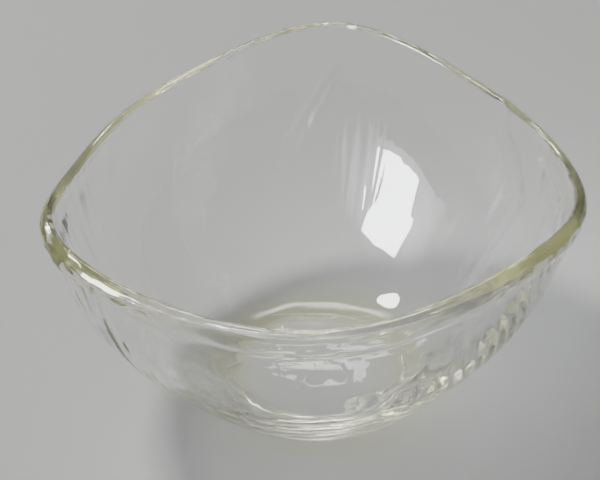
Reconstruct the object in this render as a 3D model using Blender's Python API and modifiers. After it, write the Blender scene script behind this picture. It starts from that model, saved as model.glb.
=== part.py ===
# Hand-blown clear glass bowl: a round bowl whose soft rim was pulled out and up in three corners.
# Metres, +Z up. It stands on z = 0 with the middle of its outer size over the origin, and -Y is its front.
import math

import bpy
from mathutils import Vector
from mathutils.geometry import interpolate_bezier

# the round bowl, before its corners are pulled
rimRadius = 0.0930      # outside, at the lip
rimHeight = 0.0955      # top of the lip
footRadius = 0.0375     # outside edge of the ground foot
wallArm = 0.060         # the wall leaves the lip straight down; this far below it the turn to the foot sets in

# the glass
lipThickness = 0.0036
lowerWallGain = 0.0030  # extra thickness the wall has gathered by the heel
floorThickness = 0.0105  # at its middle
floorRadius = 0.033     # the inside floor is a shallow dish out to here, then curls up
floorDish = 0.0015      # how much the dish has risen at that radius
floorCurl = 0.012       # length of the curl's arm into the wall

# the ground underside
flatRadius = 0.035      # the flat that touches the table
heelHeight = 0.0012     # the little curve between that flat and the wall

# the three corners: azimuth and tightness shape the bump, reach goes out, lift goes up, roll turns the lip out
backCorner = {"azimuth": 86.0, "tightness": 8.0, "reach": 0.0070, "lift": 0.0110, "roll": 0.0008,
              "rollAzimuth": 86.0}
leftCorner = {"azimuth": 209.0, "tightness": 10.5, "reach": 0.0155, "lift": 0.0120, "roll": 0.0008,
              "rollAzimuth": 209.0}
rightCorner = {"azimuth": 319.0, "tightness": 5.5, "reach": 0.0075, "lift": 0.0185, "roll": 0.0021,
               "rollAzimuth": 343.0}
corners = (backCorner, leftCorner, rightCorner)
rollHeight = 0.014      # the lip turns out over this last stretch of wall
stillRadius = 0.028     # the floor inside this radius is never pulled
freeRadius = 0.055      # outside it the wall takes its full share
shareCurve = 0.75       # how early the pull is felt on the way up

turnSteps = 84
wallSteps = 13
lipSteps = 7
mergeGap = 0.00005
sharpDegrees = 40.0


def clearScene():
    for oldObject in list(bpy.data.objects):
        bpy.data.objects.remove(oldObject, do_unlink=True)


def makeCollection(name):
    collection = bpy.data.collections.new(name)
    bpy.context.scene.collection.children.link(collection)
    return collection


def glassMaterial():
    material = bpy.data.materials.new("bowl")
    material.use_nodes = True
    shader = material.node_tree.nodes["Principled BSDF"]
    shader.inputs["Base Color"].default_value = (0.93, 0.96, 0.90, 1.0)
    shader.inputs["Roughness"].default_value = 0.03
    shader.inputs["Metallic"].default_value = 0.0
    shader.inputs["IOR"].default_value = 1.5
    shader.inputs["Transmission Weight"].default_value = 1.0
    return material


def flat(points):
    # the curve tool works in three dimensions, the section only needs radius and height
    return [(point.x, point.z) for point in points]


def outerWall():
    # from just under the lip down to the heel
    lip = Vector((rimRadius, 0.0, rimHeight - lipThickness / 2))
    lipArm = Vector((rimRadius, 0.0, rimHeight - wallArm))
    heel = Vector((footRadius, 0.0, heelHeight))
    heelArm = heel + Vector((heelHeight / 2, 0.0, heelHeight))
    return flat(interpolate_bezier(lip, lipArm, heelArm, heel, wallSteps))


def floorHeight(radius):
    return floorThickness + floorDish * (radius / floorRadius) ** 2


def innerWall():
    # from the edge of the inside floor up to just under the lip
    edgeSlope = 2 * floorDish / floorRadius
    floorEdge = Vector((floorRadius, 0.0, floorHeight(floorRadius)))
    floorArm = floorEdge + Vector((floorCurl, 0.0, floorCurl * edgeSlope))
    lipArm = Vector((rimRadius - lipThickness - lowerWallGain, 0.0, rimHeight - wallArm + lowerWallGain))
    lip = Vector((rimRadius - lipThickness, 0.0, rimHeight - lipThickness / 2))
    return flat(interpolate_bezier(floorEdge, floorArm, lipArm, lip, wallSteps))


def lipArc():
    # the fire-polished round over the top of the wall, from inside to outside
    radius = lipThickness / 2
    middle = rimRadius - radius
    arc = []
    for step in range(1, lipSteps):
        angle = math.pi * (1 - step / lipSteps)
        arc.append((middle + radius * math.cos(angle), rimHeight - radius + radius * math.sin(angle)))
    return arc


def heelCurve():
    # one point of the quarter round from the wall's foot in to the flat
    width = footRadius - flatRadius
    return [(flatRadius + width * math.sin(math.pi / 4), heelHeight * (1 - math.cos(math.pi / 4)))]


def bowlSection():
    # once round the glass: inside floor, inside wall, lip, outside wall, heel, underside
    section = [(radius, floorHeight(radius)) for radius in (0.0, floorRadius / 3, floorRadius * 2 / 3)]
    section += innerWall()
    section += lipArc()
    section += outerWall()
    section += heelCurve()
    section += [(flatRadius, 0.0), (0.0, 0.0)]
    return section


def turnedBowl(section):
    # the round bowl, turned about Z
    mesh = bpy.data.meshes.new("section")
    points = [(radius, 0.0, height) for radius, height in section]
    mesh.from_pydata(points, [(index, index + 1) for index in range(len(points) - 1)], [])
    profile = bpy.data.objects.new("section", mesh)
    bpy.context.scene.collection.objects.link(profile)
    screw = profile.modifiers.new("turn", "SCREW")
    screw.axis = "Z"
    screw.steps = turnSteps
    screw.render_steps = turnSteps
    screw.use_merge_vertices = True
    screw.merge_threshold = mergeGap
    evaluated = profile.evaluated_get(bpy.context.evaluated_depsgraph_get())
    turned = bpy.data.meshes.new_from_object(evaluated)
    bpy.data.objects.remove(profile, do_unlink=True)
    bpy.data.meshes.remove(mesh)
    return turned


def smooth(value):
    value = min(max(value, 0.0), 1.0)
    return value * value * (3.0 - 2.0 * value)


def bump(azimuth, peakDegrees, tightness):
    # 1 at the corner's azimuth, fading smoothly round the rim
    return math.exp(tightness * (math.cos(azimuth - math.radians(peakDegrees)) - 1.0))


def pulled(point):
    # where a point of the round bowl ends up once the corners are pulled
    radius = math.hypot(point.x, point.y)
    if radius < stillRadius or point.z <= 0.0:
        return point
    azimuth = math.atan2(point.y, point.x)
    height = min(point.z / rimHeight, 1.0)
    share = math.sin(math.pi / 2 * height ** shareCurve)
    share *= min((radius - stillRadius) / (freeRadius - stillRadius), 1.0)
    rolled = smooth((point.z - (rimHeight - rollHeight)) / rollHeight)
    outward = 0.0
    upward = 0.0
    for corner in corners:
        strength = bump(azimuth, corner["azimuth"], corner["tightness"]) * share
        outward += corner["reach"] * strength
        upward += corner["lift"] * strength
        outward += corner["roll"] * rolled * bump(azimuth, corner["rollAzimuth"], corner["tightness"] / 2)
    stretch = (radius + outward) / radius
    return Vector((point.x * stretch, point.y * stretch, point.z + upward))


def pullCorners(mesh):
    for vertex in mesh.vertices:
        vertex.co = pulled(vertex.co)


def centreOverOrigin(mesh):
    xs = [vertex.co.x for vertex in mesh.vertices]
    ys = [vertex.co.y for vertex in mesh.vertices]
    middle = Vector(((min(xs) + max(xs)) / 2, (min(ys) + max(ys)) / 2, 0.0))
    for vertex in mesh.vertices:
        vertex.co -= middle


def buildBowl(collection):
    mesh = turnedBowl(bowlSection())
    pullCorners(mesh)
    centreOverOrigin(mesh)
    mesh.name = "bowl"
    mesh.materials.clear()
    mesh.materials.append(glassMaterial())
    mesh.shade_smooth()
    mesh.set_sharp_from_angle(angle=math.radians(sharpDegrees))
    bowl = bpy.data.objects.new("bowl", mesh)
    collection.objects.link(bowl)
    return bowl


clearScene()
buildBowl(makeCollection("glass bowl"))
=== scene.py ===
import math

import bpy
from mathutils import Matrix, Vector


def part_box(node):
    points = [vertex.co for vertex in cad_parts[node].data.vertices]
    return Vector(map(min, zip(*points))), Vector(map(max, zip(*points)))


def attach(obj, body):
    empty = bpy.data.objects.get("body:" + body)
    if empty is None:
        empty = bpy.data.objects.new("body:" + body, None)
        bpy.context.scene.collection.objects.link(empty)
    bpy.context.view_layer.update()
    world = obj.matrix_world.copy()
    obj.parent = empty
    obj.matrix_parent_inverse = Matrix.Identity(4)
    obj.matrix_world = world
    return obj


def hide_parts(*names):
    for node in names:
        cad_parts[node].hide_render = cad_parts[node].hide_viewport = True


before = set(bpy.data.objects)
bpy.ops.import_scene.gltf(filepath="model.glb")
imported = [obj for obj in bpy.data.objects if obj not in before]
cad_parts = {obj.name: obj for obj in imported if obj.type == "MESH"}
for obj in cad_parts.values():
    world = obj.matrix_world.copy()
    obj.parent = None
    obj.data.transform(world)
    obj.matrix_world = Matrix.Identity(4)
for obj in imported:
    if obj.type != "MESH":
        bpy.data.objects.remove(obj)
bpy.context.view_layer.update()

bowlLow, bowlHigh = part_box("bowl")
print("frame: bowl is", [round(1000 * side, 1) for side in bowlHigh - bowlLow], "mm")


# small helpers for building node trees

def addNode(tree, kind, **settings):
    node = tree.nodes.new(kind)
    for name, value in settings.items():
        setattr(node, name, value)
    return node


def feed(tree, socket, value):
    # a socket takes a link, anything else becomes its plain value
    if isinstance(value, bpy.types.NodeSocket):
        tree.links.new(value, socket)
    elif value is not None:
        socket.default_value = value


def calc(tree, operation, *values):
    node = addNode(tree, "ShaderNodeMath", operation=operation)
    for slot, value in enumerate(values):
        feed(tree, node.inputs[slot], value)
    return node.outputs[0]


def rampBetween(tree, value, start, end, low=0.0, high=1.0, smooth=True):
    # value rises smoothly from low at start to high at end
    kind = "SMOOTHSTEP" if smooth else "LINEAR"
    node = addNode(tree, "ShaderNodeMapRange", interpolation_type=kind, clamp=True)
    for name, given in (("Value", value), ("From Min", start), ("From Max", end), ("To Min", low),
                        ("To Max", high)):
        feed(tree, node.inputs[name], given)
    return node.outputs["Result"]


def joinVector(tree, x, y, z):
    node = addNode(tree, "ShaderNodeCombineXYZ")
    for slot, value in enumerate((x, y, z)):
        feed(tree, node.inputs[slot], value)
    return node.outputs[0]


def noiseFrom(tree, vector, scale, detail=2.0, roughness=0.5, seed=0.0, distortion=0.0):
    node = addNode(tree, "ShaderNodeTexNoise", noise_dimensions="4D")
    feed(tree, node.inputs["Vector"], vector)
    for name, given in (("Scale", scale), ("Detail", detail), ("Roughness", roughness), ("W", seed),
                        ("Distortion", distortion)):
        feed(tree, node.inputs[name], given)
    return node.outputs["Fac"]


# the bowl: a section turned into a round bowl, then three corners pulled out and up

bowl = {
    "rimRadius": 0.0930,
    "rimHeight": 0.0955,
    "footRadius": 0.0375,
    "wallArm": 0.060,
    "lipThickness": 0.0036,
    "lowerWallGain": 0.0030,
    "floorThickness": 0.0105,
    "floorRadius": 0.033,
    "floorDish": 0.0015,
    "floorCurl": 0.012,
    "flatRadius": 0.035,
    "heelHeight": 0.0012,
    "rollHeight": 0.014,
    "stillRadius": 0.028,
    "freeRadius": 0.055,
    "shareCurve": 0.75,
    "turnSteps": 600,
    "crowding": 0.6,           # how much closer the turn steps lie near the three corners
    "crowdAzimuth": 322.0,     # where the first of three crowded stretches lies
    "waveDepth": 0.00045,      # slow unevenness of hand-blown walls
    "waveSize": 0.045,
    "dentDepth": 0.00026,      # smaller dents left by the tools
    "dentSize": 0.014,
    "creaseDepth": 0.00045,    # how unevenly the thick corner edges are folded
    "creaseSize": 0.0060,
    "cordDepth": 0.00022,      # fine drawn streaks that run down from the corners
    "cordSpacing": 0.0045,
    "seed": 4.0,
}

corners = {
    "Back": {"azimuth": 86.0, "tightness": 8.0, "reach": 0.0070, "lift": 0.0110, "roll": 0.0008,
             "rollAzimuth": 86.0},
    "Left": {"azimuth": 209.0, "tightness": 10.5, "reach": 0.0155, "lift": 0.0120, "roll": 0.0008,
             "rollAzimuth": 209.0},
    "Right": {"azimuth": 319.0, "tightness": 5.5, "reach": 0.0075, "lift": 0.0185, "roll": 0.0021,
              "rollAzimuth": 343.0},
}

sectionSteps = {"floor": 9, "innerWall": 64, "lip": 16, "outerWall": 66, "heel": 5, "underside": 5}

# at the two front corners the outside of the lip is a thick rounded edge, and the wall is tucked in under it
beads = {
    "Left": {"azimuth": 219.0, "tightness": 6.5, "depth": 0.0027, "height": 0.0100, "tuck": 0.0014},
    "Right": {"azimuth": 318.0, "tightness": 6.0, "depth": 0.0029, "height": 0.0112, "tuck": 0.0012},
}

# folds that ran down the soft wall: each starts at a top azimuth and drifts sideways on its way down
folds = {
    "Back": {"azimuth": 84.0, "drift": 25.0, "top": 0.096, "drop": 0.063, "bend": 1.8, "width": 2.0,
             "depth": 0.0010},
    "Right": {"azimuth": 37.0, "drift": -12.0, "top": 0.084, "drop": 0.016, "bend": 0.7, "width": 2.2,
              "depth": 0.0006},
}

# the row of short ribs pressed into the outside under the right corner
ribs = {"azimuth": 315.5, "spread": 8.5, "height": 0.057, "rise": 0.014, "spacing": 3.8, "lean": 380.0,
        "depth": 0.00078}

# where each of these effects sets in and fades out, in metres unless noted
fades = {
    "tuckIn": (0.8, 1.5),            # in edge heights below the lip
    "tuckOut": (2.0, 6.0),           # in edge heights below the lip
    "edgeWobble": 0.006,             # how unevenly high the thick edges are
    "wobbleScale": 5.0,              # noise scale round a unit circle
    "creaseStretch": 1.6,            # creases are this much flatter than wide
    "foldEnd": 1.15,                 # folds stop this many drops down
    "foldHeights": (0.022, 0.060),
    "ribClimb": 0.0009,              # the row of ribs rises this much for each degree
    "mergeGap": 0.000005,
    "edgeTint": 0.013,               # the tint of the thick edges fades out this far below the lip
    "footTintHeights": (0.003, 0.012),
    "footTintRadii": (0.030, 0.036),
    "cordStretch": 0.10,             # share of the height that the cords' noise sees, so they run long
    "cordCorners": (0.15, 1.0),
    "cordAway": 0.12,                # how much of the cords is left away from the corners
    "cordHeights": (0.02, 0.05),
    "calmLip": 0.016,                # dents fade over this last stretch of wall
    "calmShare": 0.15,
    "stillFoot": (0.0005, 0.012),    # nothing is uneven below the first height
    "lipMargin": 4,                  # section points either side of the lip that blend inside into outside
}


def bezierPoints(points, count, crowdStart, crowdEnd):
    # a cubic curve, its points closer together towards a crowded end
    made = []
    for step in range(count):
        t = step / (count - 1)
        t = t ** crowdStart
        t = 1 - (1 - t) ** crowdEnd
        weights = ((1 - t) ** 3, 3 * (1 - t) ** 2 * t, 3 * (1 - t) * t * t, t ** 3)
        made.append(tuple(sum(weight * point[axis] for weight, point in zip(weights, points))
                          for axis in (0, 1)))
    return made


def arcPoints(middle, radius, startDegrees, endDegrees, count):
    points = []
    for step in range(1, count):
        angle = math.radians(startDegrees + (endDegrees - startDegrees) * step / count)
        points.append((middle[0] + radius[0] * math.cos(angle), middle[1] + radius[1] * math.sin(angle)))
    return points


def bowlSection(size, steps):
    # once round the glass: inside floor, inside wall, lip, outside wall, heel, underside
    lipUnder = size["rimHeight"] - size["lipThickness"] / 2
    turnHeight = size["rimHeight"] - size["wallArm"]
    innerRadius = size["rimRadius"] - size["lipThickness"]
    edgeSlope = 2 * size["floorDish"] / size["floorRadius"]
    edgeHeight = size["floorThickness"] + size["floorDish"]
    floor = []
    for step in range(steps["floor"]):
        radius = size["floorRadius"] * step / steps["floor"]
        rise = size["floorDish"] * (radius / size["floorRadius"]) ** 2
        floor.append((radius, size["floorThickness"] + rise))
    innerWall = bezierPoints((
        (size["floorRadius"], edgeHeight),
        (size["floorRadius"] + size["floorCurl"], edgeHeight + size["floorCurl"] * edgeSlope),
        (innerRadius - size["lowerWallGain"], turnHeight + size["lowerWallGain"]),
        (innerRadius, lipUnder)), steps["innerWall"], 1.0, 1.45)
    lipMiddle = (size["rimRadius"] - size["lipThickness"] / 2, lipUnder)
    lipRadii = (size["lipThickness"] / 2, size["lipThickness"] / 2)
    lip = arcPoints(lipMiddle, lipRadii, 180.0, 0.0, steps["lip"])
    outerWall = bezierPoints((
        (size["rimRadius"], lipUnder),
        (size["rimRadius"], turnHeight),
        (size["footRadius"] + size["heelHeight"] / 2, size["heelHeight"] * 2),
        (size["footRadius"], size["heelHeight"])), steps["outerWall"], 1.6, 1.0)
    heelRadii = (size["footRadius"] - size["flatRadius"], size["heelHeight"])
    heel = arcPoints((size["flatRadius"], size["heelHeight"]), heelRadii, 0.0, -90.0, steps["heel"])
    underside = [(size["flatRadius"] * (1 - step / steps["underside"]), 0.0)
                 for step in range(steps["underside"] + 1)]
    return floor + innerWall + lip + outerWall + heel + underside


def addSockets(tree, prefix, labels):
    for label in labels:
        tree.interface.new_socket(f"{prefix} {label}", in_out="INPUT", socket_type="NodeSocketFloat")


def bell(tree, value, middle, width):
    # 1 in the middle, fading to nothing about two widths away
    away = calc(tree, "DIVIDE", calc(tree, "SUBTRACT", value, middle), width)
    return calc(tree, "EXPONENT", calc(tree, "MULTIPLY", calc(tree, "MULTIPLY", away, away), -1.0))


def degreesFrom(tree, azimuth, middle):
    # signed angle from a middle azimuth, in degrees, never the long way round
    away = calc(tree, "SUBTRACT", azimuth, calc(tree, "RADIANS", middle))
    return calc(tree, "DEGREES", calc(tree, "ARCTAN2", calc(tree, "SINE", away), calc(tree, "COSINE", away)))


def beaded(tree, given, azimuth, height, outside, wobble, crease):
    # half an ellipse on the outside of the lip, then the whole wall drawn in under it and let out lower down
    total = 0.0
    for name in beads:
        bead = f"{name} Bead"
        tall = calc(tree, "ADD", given[f"{bead} Height"], wobble)
        down = calc(tree, "DIVIDE", calc(tree, "SUBTRACT", given["Rim Height"], height), tall)
        around = bumpAround(tree, azimuth, given[f"{bead} Azimuth"], given[f"{bead} Tightness"])
        offCentre = calc(tree, "MULTIPLY_ADD", down, 2.0, -1.0)
        belly = calc(tree, "SUBTRACT", 1.0, calc(tree, "MULTIPLY", offCentre, offCentre))
        belly = calc(tree, "SQRT", calc(tree, "MAXIMUM", belly, 0.0))
        bulge = calc(tree, "MULTIPLY", calc(tree, "MULTIPLY", belly, outside),
                     calc(tree, "ADD", given[f"{bead} Depth"], crease))
        under = calc(tree, "MULTIPLY", rampBetween(tree, down, *fades["tuckIn"]),
                     rampBetween(tree, down, *fades["tuckOut"], low=1.0, high=0.0))
        tuck = calc(tree, "MULTIPLY", under, given[f"{bead} Tuck"])
        total = calc(tree, "MULTIPLY_ADD", around, calc(tree, "SUBTRACT", bulge, tuck), total)
    return total


def foldedOut(tree, given, azimuth, height):
    # a soft ridge that drifts sideways down the wall and dies out above the foot
    total = 0.0
    for name in folds:
        fold = f"{name} Fold"
        down = calc(tree, "SUBTRACT", given[f"{fold} Top"], height)
        down = calc(tree, "DIVIDE", down, given[f"{fold} Drop"])
        down = calc(tree, "MINIMUM", calc(tree, "MAXIMUM", down, 0.0), fades["foldEnd"])
        down = calc(tree, "POWER", down, given[f"{fold} Bend"])
        centre = calc(tree, "MULTIPLY_ADD", down, given[f"{fold} Drift"], given[f"{fold} Azimuth"])
        ridge = bell(tree, degreesFrom(tree, azimuth, centre), 0.0, given[f"{fold} Width"])
        reach = rampBetween(tree, height, *fades["foldHeights"])
        ridge = calc(tree, "MULTIPLY", ridge, reach)
        total = calc(tree, "MULTIPLY_ADD", ridge, given[f"{fold} Depth"], total)
    return total


def ribbed(tree, given, azimuth, height, outside):
    away = degreesFrom(tree, azimuth, given["Rib Azimuth"])
    rise = calc(tree, "SUBTRACT", height, given["Rib Height"])
    middle = calc(tree, "MULTIPLY", away, fades["ribClimb"])
    patch = calc(tree, "MULTIPLY", bell(tree, away, 0.0, given["Rib Spread"]),
                 bell(tree, rise, middle, given["Rib Rise"]))
    along = calc(tree, "ADD", away, calc(tree, "MULTIPLY", rise, given["Rib Lean"]))
    turns = calc(tree, "DIVIDE", calc(tree, "MULTIPLY", along, math.tau), given["Rib Spacing"])
    ripple = calc(tree, "MULTIPLY", calc(tree, "SINE", turns), patch)
    return calc(tree, "MULTIPLY", calc(tree, "MULTIPLY", ripple, outside), given["Rib Depth"])


def bumpAround(tree, azimuth, peakDegrees, tightness):
    # 1 at the corner's azimuth, fading smoothly round the rim
    away = calc(tree, "SUBTRACT", azimuth, calc(tree, "RADIANS", peakDegrees))
    fall = calc(tree, "SUBTRACT", calc(tree, "COSINE", away), 1.0)
    return calc(tree, "EXPONENT", calc(tree, "MULTIPLY", tightness, fall))


def bowlTree(material, lipStart, lipEnd):
    # the object carries the section; the tree turns it, pulls the corners and leaves the hand-made unevenness
    tree = bpy.data.node_groups.new("turn and pull bowl", "GeometryNodeTree")
    tree.interface.new_socket("Geometry", in_out="INPUT", socket_type="NodeSocketGeometry")
    tree.interface.new_socket("Turn Steps", in_out="INPUT", socket_type="NodeSocketInt")
    for label in ("Crowding", "Crowd Azimuth", "Rim Height", "Roll Height", "Still Radius", "Free Radius",
                  "Share Curve", "Wave Depth", "Wave Size", "Dent Depth", "Dent Size", "Crease Depth",
                  "Crease Size", "Cord Depth", "Cord Spacing", "Seed"):
        tree.interface.new_socket(label, in_out="INPUT", socket_type="NodeSocketFloat")
    for name in corners:
        addSockets(tree, name, ("Azimuth", "Tightness", "Reach", "Lift", "Roll", "Roll Azimuth"))
    for name in beads:
        addSockets(tree, f"{name} Bead", ("Azimuth", "Tightness", "Depth", "Height", "Tuck"))
    for name in folds:
        addSockets(tree, f"{name} Fold", ("Azimuth", "Drift", "Top", "Drop", "Bend", "Width", "Depth"))
    addSockets(tree, "Rib", ("Azimuth", "Spread", "Height", "Rise", "Spacing", "Lean", "Depth"))
    tree.interface.new_socket("Geometry", in_out="OUTPUT", socket_type="NodeSocketGeometry")
    given = addNode(tree, "NodeGroupInput").outputs

    # one grid row for each turn step, one column for each section point
    sizes = addNode(tree, "GeometryNodeAttributeDomainSize")
    feed(tree, sizes.inputs["Geometry"], given["Geometry"])
    pointCount = sizes.outputs["Point Count"]
    grid = addNode(tree, "GeometryNodeMeshGrid")
    feed(tree, grid.inputs["Vertices X"], calc(tree, "ADD", given["Turn Steps"], 1.0))
    feed(tree, grid.inputs["Vertices Y"], pointCount)
    index = addNode(tree, "GeometryNodeInputIndex").outputs[0]
    turn = calc(tree, "FLOOR", calc(tree, "DIVIDE", calc(tree, "ADD", index, 0.5), pointCount))
    ring = calc(tree, "SUBTRACT", index, calc(tree, "MULTIPLY", turn, pointCount))
    around = calc(tree, "MULTIPLY", calc(tree, "DIVIDE", turn, given["Turn Steps"]), math.tau)
    crowd = calc(tree, "MULTIPLY", calc(tree, "SINE", calc(tree, "MULTIPLY", around, 3.0)), given["Crowding"])
    azimuth = calc(tree, "ADD", calc(tree, "RADIANS", given["Crowd Azimuth"]),
                   calc(tree, "SUBTRACT", around, calc(tree, "DIVIDE", crowd, 3.0)))
    read = addNode(tree, "GeometryNodeSampleIndex", data_type="FLOAT_VECTOR", domain="POINT")
    feed(tree, read.inputs["Geometry"], given["Geometry"])
    feed(tree, read.inputs["Value"], addNode(tree, "GeometryNodeInputPosition").outputs[0])
    feed(tree, read.inputs["Index"], ring)
    parts = addNode(tree, "ShaderNodeSeparateXYZ")
    feed(tree, parts.inputs[0], read.outputs["Value"])
    radius, height = parts.outputs["X"], parts.outputs["Z"]

    # how much of the corners' pull each point feels
    climb = calc(tree, "MAXIMUM", calc(tree, "DIVIDE", height, given["Rim Height"]), 0.0)
    climb = calc(tree, "POWER", calc(tree, "MINIMUM", climb, 1.0), given["Share Curve"])
    share = calc(tree, "SINE", calc(tree, "MULTIPLY", climb, math.pi / 2))
    share = calc(tree, "MULTIPLY", share,
                 rampBetween(tree, radius, given["Still Radius"], given["Free Radius"], smooth=False))
    rollStart = calc(tree, "SUBTRACT", given["Rim Height"], given["Roll Height"])
    rolled = rampBetween(tree, height, rollStart, given["Rim Height"])
    outward, upward, nearCorner = 0.0, 0.0, 0.0
    for name in corners:
        bump = bumpAround(tree, azimuth, given[f"{name} Azimuth"], given[f"{name} Tightness"])
        strength = calc(tree, "MULTIPLY", bump, share)
        outward = calc(tree, "MULTIPLY_ADD", strength, given[f"{name} Reach"], outward)
        upward = calc(tree, "MULTIPLY_ADD", strength, given[f"{name} Lift"], upward)
        halfTightness = calc(tree, "MULTIPLY", given[f"{name} Tightness"], 0.5)
        rollBump = bumpAround(tree, azimuth, given[f"{name} Roll Azimuth"], halfTightness)
        rollShare = calc(tree, "MULTIPLY", rollBump, rolled)
        outward = calc(tree, "MULTIPLY_ADD", rollShare, given[f"{name} Roll"], outward)
        nearCorner = calc(tree, "ADD", nearCorner, rollBump)
    outside = rampBetween(tree, ring, lipStart, lipEnd)
    across, along = calc(tree, "COSINE", azimuth), calc(tree, "SINE", azimuth)
    wobble = noiseFrom(tree, joinVector(tree, across, along, 0.0), fades["wobbleScale"], seed=given["Seed"])
    wobble = calc(tree, "MULTIPLY", calc(tree, "SUBTRACT", wobble, 0.5), fades["edgeWobble"])
    skin = joinVector(tree, calc(tree, "MULTIPLY", across, given["Rim Height"]),
                      calc(tree, "MULTIPLY", along, given["Rim Height"]),
                      calc(tree, "MULTIPLY", height, fades["creaseStretch"]))
    crease = noiseFrom(tree, skin, calc(tree, "DIVIDE", 1.0, given["Crease Size"]), detail=1.0,
                       seed=given["Seed"], distortion=0.5)
    crease = calc(tree, "MULTIPLY", calc(tree, "SUBTRACT", crease, 0.5),
                  calc(tree, "MULTIPLY", given["Crease Depth"], 4.0))
    outward = calc(tree, "ADD", outward, beaded(tree, given, azimuth, height, outside, wobble, crease))
    outward = calc(tree, "ADD", outward, foldedOut(tree, given, azimuth, height))
    outward = calc(tree, "ADD", outward, ribbed(tree, given, azimuth, height, outside))
    reach = calc(tree, "ADD", radius, outward)
    pulled = joinVector(tree, calc(tree, "MULTIPLY", reach, across), calc(tree, "MULTIPLY", reach, along),
                        calc(tree, "ADD", height, upward))
    place = addNode(tree, "GeometryNodeSetPosition")
    feed(tree, place.inputs["Geometry"], grid.outputs["Mesh"])
    feed(tree, place.inputs["Position"], pulled)

    # the same factors again, kept on the points through the merge that closes the turn and its two poles
    store = place.outputs[0]
    readBack = {}
    tintEnd = calc(tree, "SUBTRACT", given["Rim Height"], fades["edgeTint"])
    edge = rampBetween(tree, height, tintEnd, given["Rim Height"])
    front = 0.0
    for name in beads:
        around = bumpAround(tree, azimuth, given[f"{name} Bead Azimuth"], given[f"{name} Bead Tightness"])
        front = calc(tree, "ADD", front, around)
    foot = calc(tree, "MULTIPLY", rampBetween(tree, height, *fades["footTintHeights"], low=1.0, high=0.0),
                rampBetween(tree, radius, *fades["footTintRadii"]))
    thick = calc(tree, "MAXIMUM", calc(tree, "MULTIPLY", edge, calc(tree, "MINIMUM", front, 1.0)), foot)
    for name, value in (("outside", outside), ("height", height), ("corner", nearCorner), ("thick", thick)):
        write = addNode(tree, "GeometryNodeStoreNamedAttribute", data_type="FLOAT", domain="POINT")
        feed(tree, write.inputs["Geometry"], store)
        write.inputs["Name"].default_value = name
        feed(tree, write.inputs["Value"], value)
        store = write.outputs[0]
        fetch = addNode(tree, "GeometryNodeInputNamedAttribute", data_type="FLOAT")
        fetch.inputs["Name"].default_value = name
        readBack[name] = fetch.outputs["Attribute"]
    write = addNode(tree, "GeometryNodeStoreNamedAttribute", data_type="FLOAT_VECTOR", domain="POINT")
    feed(tree, write.inputs["Geometry"], store)
    write.inputs["Name"].default_value = "drawn"
    feed(tree, write.inputs["Value"], joinVector(tree, calc(tree, "MULTIPLY", across, given["Rim Height"]),
                                                 calc(tree, "MULTIPLY", along, given["Rim Height"]),
                                                 calc(tree, "MULTIPLY", height, fades["cordStretch"])))
    closed = addNode(tree, "GeometryNodeMergeByDistance")
    feed(tree, closed.inputs["Geometry"], write.outputs[0])
    closed.inputs["Distance"].default_value = fades["mergeGap"]

    # slow waves, dents and fine drawn cords: none on the ground flat, few dents on the lip
    position = addNode(tree, "GeometryNodeInputPosition").outputs[0]
    normal = addNode(tree, "GeometryNodeInputNormal").outputs[0]
    side = calc(tree, "MULTIPLY_ADD", readBack["outside"], 1.7, given["Seed"])
    slow = noiseFrom(tree, position, calc(tree, "DIVIDE", 1.0, given["Wave Size"]), detail=1.0, seed=side)
    slow = calc(tree, "SUBTRACT", slow, 0.5)
    drawn = addNode(tree, "GeometryNodeInputNamedAttribute", data_type="FLOAT_VECTOR")
    drawn.inputs["Name"].default_value = "drawn"
    fine = calc(tree, "SUBTRACT", noiseFrom(tree, drawn.outputs["Attribute"],
                                            calc(tree, "DIVIDE", 1.0, given["Cord Spacing"]),
                                            detail=1.0, seed=side, distortion=0.3), 0.5)
    nearby = rampBetween(tree, readBack["corner"], *fades["cordCorners"], low=fades["cordAway"])
    cordShare = calc(tree, "MULTIPLY", nearby, rampBetween(tree, readBack["height"], *fades["cordHeights"]))
    dents = calc(tree, "SUBTRACT", noiseFrom(tree, position, calc(tree, "DIVIDE", 1.0, given["Dent Size"]),
                                             detail=0.0, seed=calc(tree, "ADD", side, 9.0)), 0.5)
    calmStart = calc(tree, "SUBTRACT", given["Rim Height"], fades["calmLip"])
    calm = rampBetween(tree, readBack["height"], calmStart, given["Rim Height"], low=1.0,
                       high=fades["calmShare"])
    dents = calc(tree, "MULTIPLY", dents, calm)
    lift = calc(tree, "MULTIPLY", slow, calc(tree, "MULTIPLY", given["Wave Depth"], 2.0))
    lift = calc(tree, "MULTIPLY_ADD", dents, calc(tree, "MULTIPLY", given["Dent Depth"], 2.0), lift)
    lift = calc(tree, "MULTIPLY_ADD", calc(tree, "MULTIPLY", fine, cordShare),
                calc(tree, "MULTIPLY", given["Cord Depth"], 2.0), lift)
    lift = calc(tree, "MULTIPLY", lift, rampBetween(tree, readBack["height"], *fades["stillFoot"]))
    shift = addNode(tree, "ShaderNodeVectorMath", operation="SCALE")
    feed(tree, shift.inputs[0], normal)
    feed(tree, shift.inputs["Scale"], lift)
    waved = addNode(tree, "GeometryNodeSetPosition")
    feed(tree, waved.inputs["Geometry"], closed.outputs[0])
    feed(tree, waved.inputs["Offset"], shift.outputs[0])

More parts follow.
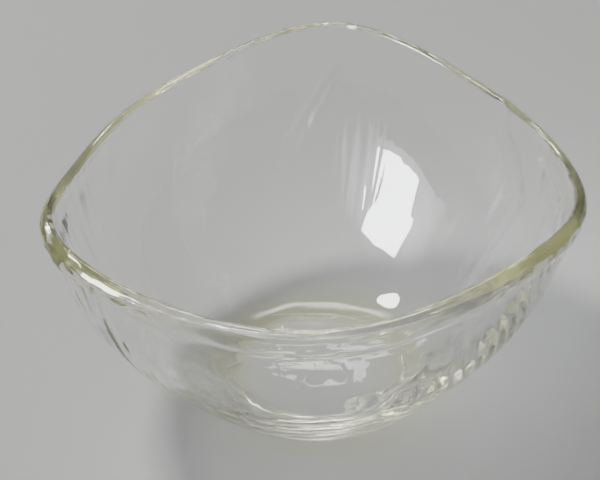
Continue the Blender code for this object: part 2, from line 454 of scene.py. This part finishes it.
    turned = addNode(tree, "GeometryNodeFlipFaces")
    feed(tree, turned.inputs[0], waved.outputs[0])
    smooth = addNode(tree, "GeometryNodeSetShadeSmooth")
    feed(tree, smooth.inputs[0], turned.outputs[0])
    realize = addNode(tree, "GeometryNodeRealizeInstances")
    feed(tree, realize.inputs[0], smooth.outputs[0])
    paint = addNode(tree, "GeometryNodeSetMaterial")
    feed(tree, paint.inputs["Geometry"], realize.outputs[0])
    paint.inputs["Material"].default_value = material
    finish = addNode(tree, "NodeGroupOutput")
    feed(tree, finish.inputs[0], paint.outputs[0])
    return tree


def socketName(key):
    # rollAzimuth becomes Roll Azimuth
    return "".join(f" {letter}" if letter.isupper() else letter for letter in key).title()


def setInputs(modifier, values):
    # a modifier's inputs go by their sockets' identifiers
    byName = {item.name: item.identifier for item in modifier.node_group.interface.items_tree
              if item.item_type == "SOCKET" and item.in_out == "INPUT"}
    for name, value in values.items():
        modifier[byName[name]] = value


def bakedMesh(source, name, material, keptAttribute):
    # the tree's result as a plain mesh with one material and only the attribute its shader reads
    evaluated = source.evaluated_get(bpy.context.evaluated_depsgraph_get())
    mesh = bpy.data.meshes.new_from_object(evaluated)
    mesh.name = name
    bpy.data.objects.remove(source, do_unlink=True)
    mesh.materials.clear()
    mesh.materials.append(material)
    mesh.polygons.foreach_set("material_index", [0] * len(mesh.polygons))
    for helper in ("outside", "height", "corner", "drawn", "thick"):
        if helper != keptAttribute:
            mesh.attributes.remove(mesh.attributes[helper])
    return mesh


def seatInFrame(mesh, low, high):
    # the finished glass is moved and scaled a little so that it fills the frame's box exactly
    xs = [vertex.co.x for vertex in mesh.vertices]
    ys = [vertex.co.y for vertex in mesh.vertices]
    zs = [vertex.co.z for vertex in mesh.vertices]
    middle = Vector(((min(xs) + max(xs)) / 2, (min(ys) + max(ys)) / 2, min(zs)))
    target = Vector(((low.x + high.x) / 2, (low.y + high.y) / 2, low.z))
    scale = Vector(((high.x - low.x) / (max(xs) - min(xs)), (high.y - low.y) / (max(ys) - min(ys)),
                    (high.z - low.z) / (max(zs) - min(zs))))
    print("bowl: scaled into the frame by", [round(side, 4) for side in scale])
    for vertex in mesh.vertices:
        vertex.co = target + (vertex.co - middle) * scale


def makeBowl(material):
    section = bowlSection(bowl, sectionSteps)
    lipStart = sectionSteps["floor"] + sectionSteps["innerWall"] - fades["lipMargin"]
    lipEnd = lipStart + sectionSteps["lip"] + 2 * fades["lipMargin"]
    mesh = bpy.data.meshes.new("section")
    mesh.from_pydata([(radius, 0.0, height) for radius, height in section],
                     [(index, index + 1) for index in range(len(section) - 1)], [])
    source = bpy.data.objects.new("section", mesh)
    bpy.context.scene.collection.objects.link(source)
    modifier = source.modifiers.new("turn and pull", "NODES")
    modifier.node_group = bowlTree(material, float(lipStart), float(lipEnd))
    values = {"Turn Steps": bowl["turnSteps"]}
    for key in ("crowding", "crowdAzimuth", "rimHeight", "rollHeight", "stillRadius", "freeRadius",
                "shareCurve", "waveDepth", "waveSize", "dentDepth", "dentSize", "creaseDepth", "creaseSize",
                "cordDepth", "cordSpacing", "seed"):
        values[socketName(key)] = bowl[key]
    for name, corner in corners.items():
        values.update({f"{name} {socketName(key)}": value for key, value in corner.items()})
    for name, bead in beads.items():
        values.update({f"{name} Bead {socketName(key)}": value for key, value in bead.items()})
    for name, fold in folds.items():
        values.update({f"{name} Fold {socketName(key)}": value for key, value in fold.items()})
    values.update({f"Rib {socketName(key)}": value for key, value in ribs.items()})
    setInputs(modifier, values)
    glassMesh = bakedMesh(source, "bowlGlass", material, "thick")
    seatInFrame(glassMesh, bowlLow, bowlHigh)
    piece = bpy.data.objects.new("bowlGlass", glassMesh)
    bpy.context.scene.collection.objects.link(piece)
    print("bowl:", len(glassMesh.vertices), "points,", len(glassMesh.polygons), "faces")
    return piece


# glass

glass = {
    "ior": 1.5,
    "tint": (0.83, 0.84, 0.42, 1.0),
    "tintDensity": 3.2,
    "thickTint": (0.91, 0.92, 0.60, 1.0),   # at the thick corner edges and round the foot
    "patchScale": 60.0,            # how finely the thick tint comes and goes
    "smudgeScale": 22.0,
    "smudgeRoughness": (0.004, 0.035),
    "rippleScale": 90.0,
    "rippleStrength": 0.05,
    "rippleHeight": 0.001,
}


def makeGlass():
    material = bpy.data.materials.new("clear glass")
    material.use_nodes = True
    tree = material.node_tree
    shader = tree.nodes["Principled BSDF"]
    shader.inputs["IOR"].default_value = glass["ior"]
    shader.inputs["Transmission Weight"].default_value = 1.0
    place = addNode(tree, "ShaderNodeTexCoord").outputs["Object"]
    thick = addNode(tree, "ShaderNodeAttribute", attribute_type="GEOMETRY", attribute_name="thick")
    thick = thick.outputs["Fac"]
    patchy = noiseFrom(tree, place, glass["patchScale"], detail=3.0, seed=3.0)
    blend = addNode(tree, "ShaderNodeMix", data_type="RGBA")
    share = rampBetween(tree, patchy, 0.2, 0.7, low=0.6)
    feed(tree, blend.inputs["Factor"], calc(tree, "MULTIPLY", thick, share))
    blend.inputs["A"].default_value = (1.0, 1.0, 1.0, 1.0)
    blend.inputs["B"].default_value = glass["thickTint"]
    feed(tree, shader.inputs["Base Color"], blend.outputs["Result"])
    smudge = noiseFrom(tree, place, glass["smudgeScale"], detail=4.0, roughness=0.6, seed=2.0)
    clean, smudged = glass["smudgeRoughness"]
    feed(tree, shader.inputs["Roughness"], rampBetween(tree, smudge, 0.45, 0.75, low=clean, high=smudged))
    ripple = noiseFrom(tree, place, glass["rippleScale"], detail=2.0, seed=7.0)
    bump = addNode(tree, "ShaderNodeBump")
    bump.inputs["Strength"].default_value = glass["rippleStrength"]
    bump.inputs["Distance"].default_value = glass["rippleHeight"]
    feed(tree, bump.inputs["Height"], ripple)
    feed(tree, shader.inputs["Normal"], bump.outputs[0])
    absorb = addNode(tree, "ShaderNodeVolumeAbsorption")
    absorb.inputs["Color"].default_value = glass["tint"]
    absorb.inputs["Density"].default_value = glass["tintDensity"]
    feed(tree, tree.nodes["Material Output"].inputs["Volume"], absorb.outputs[0])
    return material


glassMaterial = makeGlass()
bowlGlass = makeBowl(glassMaterial)
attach(bowlGlass, "root")
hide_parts("bowl")


# floor, lights and camera

studio = {
    "floorColour": (0.42, 0.42, 0.415, 1.0),
    "floorHalf": 6.0,
    "floorGap": 0.0003,        # the floor lies this far under the ground flat, so the two never coincide
    "horizonColour": (0.09, 0.092, 0.095, 1.0),
    "zenithColour": (0.50, 0.51, 0.53, 1.0),
    "softEdge": (0.15, 0.5),   # a soft panel fades over this stretch from its middle, one half being its edge
    "zenithHeight": 0.9,
    "lightPaths": 48,          # light runs a long way inside the wall before it leaves at the lip
}

# azimuth and elevation say where each panel stands as seen from the bowl, brightness is its own radiance;
# a "glass" panel is hidden from the floor, a "gloss" panel also from light that has gone through the glass
panels = {
    "keySoftbox": {"azimuth": 156.0, "elevation": 62.0, "distance": 1.7, "size": (0.40, 0.40),
                   "brightness": 72.0, "colour": (1.0, 0.99, 0.97), "seenBy": "all", "softEdge": False},
    "backStrip": {"azimuth": 92.0, "elevation": 64.0, "distance": 1.7, "size": (1.5, 0.48),
                  "brightness": 14.0, "colour": (1.0, 1.0, 1.0), "seenBy": "glass", "softEdge": True},
    "sidePanel": {"azimuth": 138.0, "elevation": 26.0, "distance": 2.0, "size": (1.6, 0.9),
                  "brightness": 7.0, "colour": (1.0, 1.0, 1.0), "seenBy": "gloss", "softEdge": True},
    "wellLamp": {"azimuth": 92.0, "elevation": 38.0, "distance": 2.0, "size": (0.36, 0.16),
                 "brightness": 100.0, "colour": (1.0, 1.0, 1.0), "seenBy": "glass", "softEdge": True},
    "rimLamp": {"azimuth": 123.0, "elevation": 28.0, "distance": 2.0, "size": (0.25, 0.25),
                "brightness": 90.0, "colour": (1.0, 1.0, 1.0), "seenBy": "glass", "softEdge": False},
    "tallWindow": {"azimuth": -137.0, "elevation": 40.0, "distance": 2.0, "size": (0.75, 1.30),
                   "brightness": 75.0, "colour": (0.97, 0.99, 1.0), "seenBy": "gloss", "softEdge": False},
    "wideVeil": {"azimuth": -140.0, "elevation": 34.0, "distance": 2.4, "size": (3.4, 3.0),
                 "brightness": 8.0, "colour": (0.97, 0.99, 1.0), "seenBy": "gloss", "softEdge": True},
}


def makeFloor():
    mesh = bpy.data.meshes.new("floor")
    half = studio["floorHalf"]
    mesh.from_pydata([(-half, -half, 0.0), (half, -half, 0.0), (half, half, 0.0), (-half, half, 0.0)], [],
                     [(0, 1, 2, 3)])
    floor = bpy.data.objects.new("floor", mesh)
    floor.location.z = bowlLow.z - studio["floorGap"]
    bpy.context.scene.collection.objects.link(floor)
    material = bpy.data.materials.new("pale floor")
    material.use_nodes = True
    shader = material.node_tree.nodes["Principled BSDF"]
    shader.inputs["Base Color"].default_value = studio["floorColour"]
    shader.inputs["Roughness"].default_value = 0.9
    shader.inputs["Specular IOR Level"].default_value = 0.0
    mesh.materials.append(material)


def makePanel(name, panel):
    data = bpy.data.lights.new(name, "AREA")
    data.shape = "ELLIPSE" if panel["seenBy"] == "all" else "RECTANGLE"
    data.size, data.size_y = panel["size"]
    face = data.size * data.size_y * (math.pi / 4 if data.shape == "ELLIPSE" else 1.0)
    data.energy = panel["brightness"] * math.pi * face
    data.color = panel["colour"]
    light = bpy.data.objects.new(name, data)
    azimuth, elevation = math.radians(panel["azimuth"]), math.radians(panel["elevation"])
    level = math.cos(elevation)
    away = Vector((math.cos(azimuth) * level, math.sin(azimuth) * level, math.sin(elevation)))
    light.location = away * panel["distance"]
    light.rotation_euler = (-away).to_track_quat("-Z", "Y").to_euler()
    if panel["softEdge"]:
        data.use_nodes = True
        tree = data.node_tree
        spot = addNode(tree, "ShaderNodeVectorMath", operation="DISTANCE")
        feed(tree, spot.inputs[0], addNode(tree, "ShaderNodeNewGeometry").outputs["Parametric"])
        spot.inputs[1].default_value = (0.5, 0.5, 0.0)
        feed(tree, tree.nodes["Emission"].inputs["Strength"],
             rampBetween(tree, spot.outputs["Value"], *studio["softEdge"], low=1.0, high=0.0))
    light.visible_diffuse = panel["seenBy"] == "all"
    light.visible_transmission = panel["seenBy"] != "gloss"
    bpy.context.scene.collection.objects.link(light)


def makeWorld():
    world = bpy.data.worlds.new("studio")
    world.use_nodes = True
    tree = world.node_tree
    place = addNode(tree, "ShaderNodeTexCoord").outputs["Generated"]
    parts = addNode(tree, "ShaderNodeSeparateXYZ")
    feed(tree, parts.inputs[0], place)
    blend = addNode(tree, "ShaderNodeMix", data_type="RGBA")
    feed(tree, blend.inputs["Factor"], rampBetween(tree, parts.outputs["Z"], 0.0, studio["zenithHeight"]))
    blend.inputs["A"].default_value = studio["horizonColour"]
    blend.inputs["B"].default_value = studio["zenithColour"]
    feed(tree, tree.nodes["Background"].inputs["Color"], blend.outputs["Result"])
    bpy.context.scene.world = world


view = {
    "lens": 135.0,
    "elevation": 36.15,
    "distance": 0.8965,
    "sensor": 36.0,
    "aim": (-0.0055, 0.0300, 0.0451),
}


def makeCamera():
    data = bpy.data.cameras.new("camera")
    data.lens = view["lens"]
    data.sensor_width = view["sensor"]
    camera = bpy.data.objects.new("camera", data)
    pitch = math.radians(view["elevation"])
    back = Vector((0.0, -math.cos(pitch), math.sin(pitch))) * view["distance"]
    camera.location = Vector(view["aim"]) + back
    camera.rotation_euler = (math.pi / 2 - pitch, 0.0, 0.0)
    bpy.context.scene.collection.objects.link(camera)
    bpy.context.scene.camera = camera


makeFloor()
makeWorld()
for panelName, panel in panels.items():
    makePanel(panelName, panel)
makeCamera()
paths = bpy.context.scene.cycles
paths.max_bounces = paths.transmission_bounces = paths.glossy_bounces = studio["lightPaths"]
print("studio: floor,", len(panels), "panels and camera")
